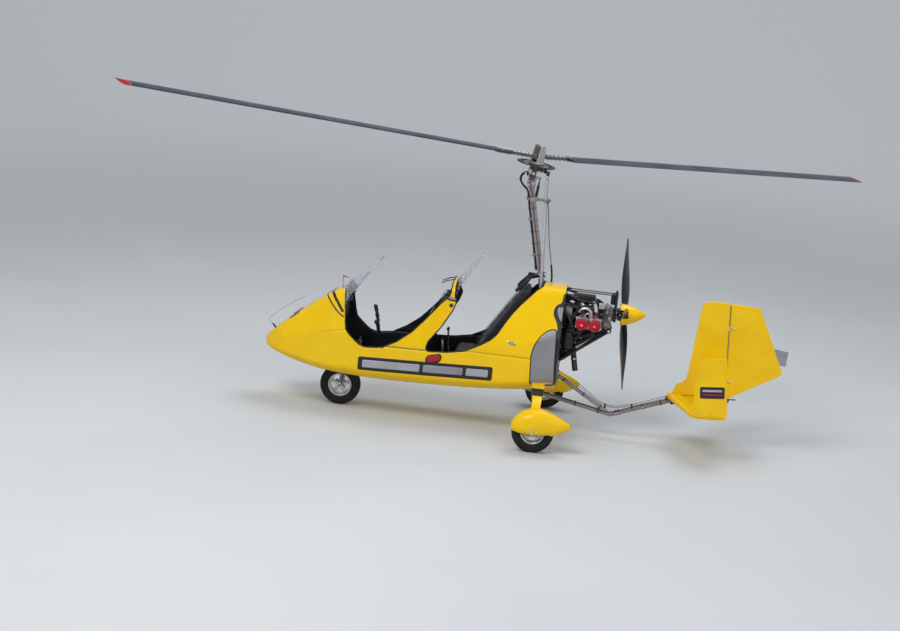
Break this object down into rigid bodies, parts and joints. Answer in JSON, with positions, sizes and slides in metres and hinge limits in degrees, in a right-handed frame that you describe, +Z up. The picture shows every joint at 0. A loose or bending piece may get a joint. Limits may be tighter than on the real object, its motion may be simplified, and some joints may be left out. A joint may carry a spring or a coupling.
{
  "type": "tandem open-cockpit gyroplane",
  "caption": "Light tandem open-cockpit gyroplane with a teetering rotor on a mast, pusher propeller, faired wheels, tail fin and rudder.",
  "frame": {"origin": "on the ground, straight below the middle of the rotor's hub bar", "axes": "+X aft, +Y to starboard, +Z up; the centre plane is y = 0"},
  "size_m": [6.2953, 6.004, 3.0737],
  "materials": {
    "yellow_shell": "gloss",
    "silver_panel": "satin",
    "black_panel": "matte",
    "clear_screen": "clear",
    "frame_steel": "satin",
    "black_metal": "satin",
    "seat_cloth": "cloth",
    "cable_sleeve": "matte",
    "light_alloy": "brushed",
    "engine_alloy": "cast",
    "red_cover": "gloss paint",
    "blade_skin": "satin paint",
    "propeller_black": "satin",
    "tyre_rubber": "matte"
  },
  "bodies": {
    "airframe": {"hull_tub": "yellow_shell", "nose_bonnet": "yellow_shell", "seat_pod": "yellow_shell", "mast_fairing": "yellow_shell", "side_panels": "silver_panel", "firewall": "black_panel", "instrument_panels": "black_panel", "windscreens": "clear_screen", "keel_beam": "frame_steel", "seat_frames": "black_panel", "front_seat_base": "seat_cloth", "front_seat_back": "seat_cloth", "rear_seat_base": "seat_cloth", "rear_seat_back": "seat_cloth", "hand_controls": "black_metal", "rudder_pedals": "light_alloy", "mast": "frame_steel", "mast_brackets": "frame_steel", "support_bar": "black_metal", "cable_bundle": "cable_sleeve", "nose_gear_well": "black_panel", "landing_leg": "yellow_shell", "main_axles": "frame_steel", "wheel_spats": "yellow_shell", "tail_boom": "frame_steel", "tail_fin": "yellow_shell", "tailplane": "yellow_shell", "engine_block": "engine_alloy", "rocker_covers": "red_cover", "gearbox": "engine_alloy", "engine_plate": "black_panel", "engine_mount": "black_metal", "air_intake": "light_alloy", "engine_tanks": "black_panel", "exhaust": "black_metal"},
    "gimbal": {"gimbal_block": "frame_steel"},
    "rotor_head": {"head_frame": "frame_steel"},
    "rods": {"control_rods": "light_alloy"},
    "rotor_shaft": {"teeter_tower": "frame_steel", "ring_gear": "frame_steel"},
    "rotor": {"hub_bar": "light_alloy", "rotor_blades": "blade_skin"},
    "propeller": {"spinner": "yellow_shell", "propeller_blades": "propeller_black"},
    "rudder_body": {"rudder": "yellow_shell", "trim_tab": "light_alloy"},
    "nose_gear": {"nose_fork": "frame_steel"},
    "nose_wheel": {"nose_tyre": "tyre_rubber", "nose_rim": "light_alloy"},
    "left_wheel": {"left_tyre": "tyre_rubber", "left_rim": "light_alloy"},
    "right_wheel": {"right_tyre": "tyre_rubber", "right_rim": "light_alloy"}
  },
  "joints": [
    {"name": "head_roll", "type": "hinge", "parent": "airframe", "child": "gimbal", "pos_m": [-0.02418, 0, 2.30258], "axis": [0.9915, 0, -0.13], "range_deg": [-8, 8]},
    {"name": "head_pitch", "type": "hinge", "parent": "gimbal", "child": "rotor_head", "pos_m": [-0.01976, 0, 2.33629], "axis": [0, 1, 0], "range_deg": [-6, 8]},
    {"name": "rod_slide", "type": "slide", "parent": "airframe", "child": "rods", "axis": [-0.0551, 0, 0.9985], "range_m": [-0.0185, 0.0145]},
    {"name": "rotor_spin", "type": "hinge", "parent": "rotor_head", "child": "rotor_shaft", "pos_m": [0, 0, 2.487], "axis": [0.13, 0, 0.9915], "continuous": true},
    {"name": "rotor_teeter", "type": "hinge", "parent": "rotor_shaft", "child": "rotor", "pos_m": [0.00975, 0, 2.56136], "axis": [-0.6888, 0.7193, 0.0903], "range_deg": [-6, 6]},
    {"name": "propeller_spin", "type": "hinge", "parent": "airframe", "child": "propeller", "pos_m": [0.912, 0, 1.154], "axis": [0.9968, 0, 0.0802], "continuous": true},
    {"name": "rudder_hinge", "type": "hinge", "parent": "airframe", "child": "rudder_body", "pos_m": [1.942, 0, 0.501], "axis": [-0.0576, 0, 0.9983], "range_deg": [-25, 25]},
    {"name": "nose_steering", "type": "hinge", "parent": "airframe", "child": "nose_gear", "pos_m": [-1.58, 0, 0.187], "axis": [0.1219, 0, 0.9925], "range_deg": [-25, 25]},
    {"name": "nose_wheel_spin", "type": "hinge", "parent": "nose_gear", "child": "nose_wheel", "pos_m": [-1.58, 0, 0.187], "axis": [0, 1, 0], "continuous": true},
    {"name": "left_wheel_spin", "type": "hinge", "parent": "airframe", "child": "left_wheel", "pos_m": [0.264, -0.82, 0.187], "axis": [0, 1, 0], "continuous": true},
    {"name": "right_wheel_spin", "type": "hinge", "parent": "airframe", "child": "right_wheel", "pos_m": [0.264, 0.82, 0.187], "axis": [0, 1, 0], "continuous": true}
  ],
  "couplings": [
    {"joint": "rod_slide", "follows": "head_pitch", "m_per_rad": -0.12187}
  ]
}
